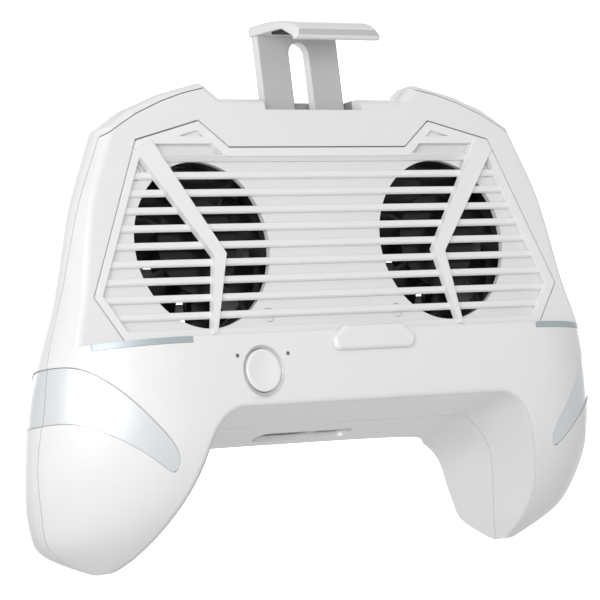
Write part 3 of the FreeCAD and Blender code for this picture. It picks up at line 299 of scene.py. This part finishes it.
# The strips' darker colours are painted shade; their more metallic mix is their own.
shaded_strip = lacquer("strip_lacquer_shaded", (0.44, 0.50, 0.53, 1), (0.50, 0.56, 0.59, 1),
                rough=0.42, metal=0.5, flakes=3000.0, coat=0.2, coat_rough=0.2)
for side in SIDES:
    paint(band, "grip_band_front_" + side, "grip_band_rear_" + side)
    paint(shaded_strip, "ledge_trim_" + side)

# %% [markdown]
# ## Fans
# Housing and blades are moulded in black plastic, glossy where a blade turns to the light and
# dull where dust has settled. A plain black would hide the blades behind the slots, so the
# roughness changes in patches and gives them short gleams.

# %% Fans
DUST_SCALE, DUST_DETAIL = 160.0, 4.0
GLOSSY, DULL = 0.16, 0.41

fan_black = Finish("fan_black", Specular_IOR_Level=0.35)
dust = fan_black.noise(DUST_SCALE, DUST_DETAIL)
fan_black.set(Base_Color=fan_black.mix(dust, rgb(0.003), rgb(0.012)),
              Roughness=GLOSSY + dust * (DULL - GLOSSY))
for side in SIDES:
    paint(fan_black, "fan_housing_" + side, "fan_impeller_" + side)

# %% [markdown]
# ## Small parts
# Screws, shafts, boards and the cell sit inside or show only as small spots. Each has its own
# metal or plastic, save the clamp guide, whose dark grey is painted shade behind the arm. They
# could be left plain, but each gets a colour that moves between two close tones and a roughness
# that moves with it, because the model is also looked at from the back and taken apart.

# %% Metals
SPECK_SCALE, SPECK_DETAIL, SPECK_ROUGHNESS = 300.0, 3.0, 0.1


def plain(name, one, two, rough, metal=0.0):
    """Finish that moves between two close tones."""
    finish = Finish(name, Metallic=metal)
    cloud = finish.noise(SPECK_SCALE, SPECK_DETAIL)
    return finish.set(Base_Color=finish.mix(cloud, one, two),
                      Roughness=rough + (cloud - 0.5) * SPECK_ROUGHNESS)


steel = plain("plain_steel", rgb(0.5), rgb(0.6), rough=0.35, metal=1.0)
bronze = plain("bearing_bronze", (0.5, 0.33, 0.16, 1), (0.6, 0.42, 0.22, 1), rough=0.4, metal=1.0)
copper = plain("copper_wire", (0.45, 0.16, 0.07, 1), (0.6, 0.26, 0.12, 1), rough=0.35, metal=0.9)
foil = plain("cell_foil", rgb(0.3), rgb(0.4), rough=0.35, metal=0.6)
for side in SIDES:
    paint(steel, "fan_shaft_" + side, "screw_high_" + side, "screw_side_" + side,
          "screw_grip_" + side)
    paint(bronze, "fan_bearing_" + side)
    paint(copper, "fan_coil_" + side)
paint(steel, "stop_post", "usb_out_socket", "usb_in_socket")
paint(foil, "battery_cell")

# %% Boards and small plastic parts
board_green = plain("board_green", (0.02, 0.16, 0.06, 1), (0.03, 0.2, 0.08, 1), rough=0.4)
chip_black = plain("chip_black", rgb(0.02), rgb(0.035), rough=0.5)
paint(board_green, "control_board", "port_board")
paint(chip_black, "charge_chip", "drive_chip", "tact_switch")
paint(plain("soft_pad", rgb(0.02), rgb(0.035), rough=0.7), "hook_pad")
paint(plain("lamp_tint", rgb(0.12), rgb(0.16), rough=0.2), "lamp_guides")
paint(plain("port_grey", rgb(0.66), rgb(0.70), rough=0.5), "port_plate")
paint(plain("ring_white", rgb(0.55), rgb(0.6), rough=0.35), "button_ring")
# Painted shade: the clamp guide is dark grey to stand for the shade in the channel behind the arm.
paint(plain("channel_painted_shade", rgb(0.16), rgb(0.2), rough=0.5), "clamp_guide")

# %% [markdown]
# ## Floor, backdrop and room
# The picture is high-key: the background is pure white, and only the underside and the inside of
# the right handle fall off to grey. One white room would light every side alike. So the room is
# only part bright, a pale floor just below the camera throws some light up, and a glowing sheet
# far behind makes the background white. The standard view keeps white as white.

# %% Floor, backdrop and room
ROOM_STRENGTH = 0.64
FLOOR_HEIGHT, FLOOR_HALF, FLOOR_LEVEL = -0.11, 3, 0.68
SHEET_LEFT, SHEET_RIGHT, SHEET_DISTANCE = -0.5, 4.5, 2.6
SHEET_FOOT, SHEET_TOP = -0.10, 1.5
SHEET_LEVEL, SHEET_GLOW = 0.8, 1.2

world = bpy.data.worlds.new("pale_room")
bpy.context.scene.world = world
world.use_nodes = True
room = world.node_tree.nodes["Background"]
room.inputs["Color"].default_value = rgb(1)
room.inputs["Strength"].default_value = ROOM_STRENGTH
bpy.context.scene.view_settings.view_transform = "Standard"


def sheet(name, corners, level, glow):
    """Flat sheet of the studio, which is not part of the object."""
    mesh = bpy.data.meshes.new(name)
    mesh.from_pydata(corners, [], [(0, 1, 2, 3)])
    thing = bpy.data.objects.new(name, mesh)
    bpy.context.scene.collection.objects.link(thing)
    finish = Finish(name, Emission_Color=rgb(1), Emission_Strength=glow, Roughness=0.9,
                    Base_Color=rgb(level))
    mesh.materials.append(finish.material)
    print(name, "has its corners at", corners)


sheet("floor", [(x * FLOOR_HALF, y * FLOOR_HALF, FLOOR_HEIGHT)
                for x, y in ((-1, -1), (1, -1), (1, 1), (-1, 1))], FLOOR_LEVEL, 0.0)
sheet("backdrop", [(x, SHEET_DISTANCE, z)
                   for x, z in ((SHEET_LEFT, SHEET_FOOT), (SHEET_RIGHT, SHEET_FOOT),
                                (SHEET_RIGHT, SHEET_TOP), (SHEET_LEFT, SHEET_TOP))],
      SHEET_LEVEL, SHEET_GLOW)

# %% [markdown]
# ## Lamps
# A studio lights such a thing with large square softboxes. A small lamp would draw hard shadows
# under every slat. The key stands beside the camera at the height of the grip, so that the left
# handle shines and its lower end stays grey. A weaker one behind on the right lifts the far side
# and back.

# %% Lamps
def softbox(name, place, width, height, watts):
    """Area lamp that looks at the middle of the grip."""
    lamp = bpy.data.lights.new(name, "AREA")
    lamp.shape, lamp.size, lamp.size_y, lamp.energy = "RECTANGLE", width, height, watts
    thing = bpy.data.objects.new(name, lamp)
    thing.location = place
    thing.rotation_euler = (-Vector(place)).to_track_quat("-Z", "Y").to_euler()
    bpy.context.scene.collection.objects.link(thing)
    print(name, "stands", round(Vector(place).length, 2), "m away, with", watts, "W")


softbox("key", (-0.66, -0.62, 0.02), width=0.42, height=0.42, watts=5.4)
softbox("rear_fill", (0.78, 0.72, 0.30), width=0.7, height=0.6, watts=2.6)

# Both boxes are written down side by side, so that a difference shows at once.
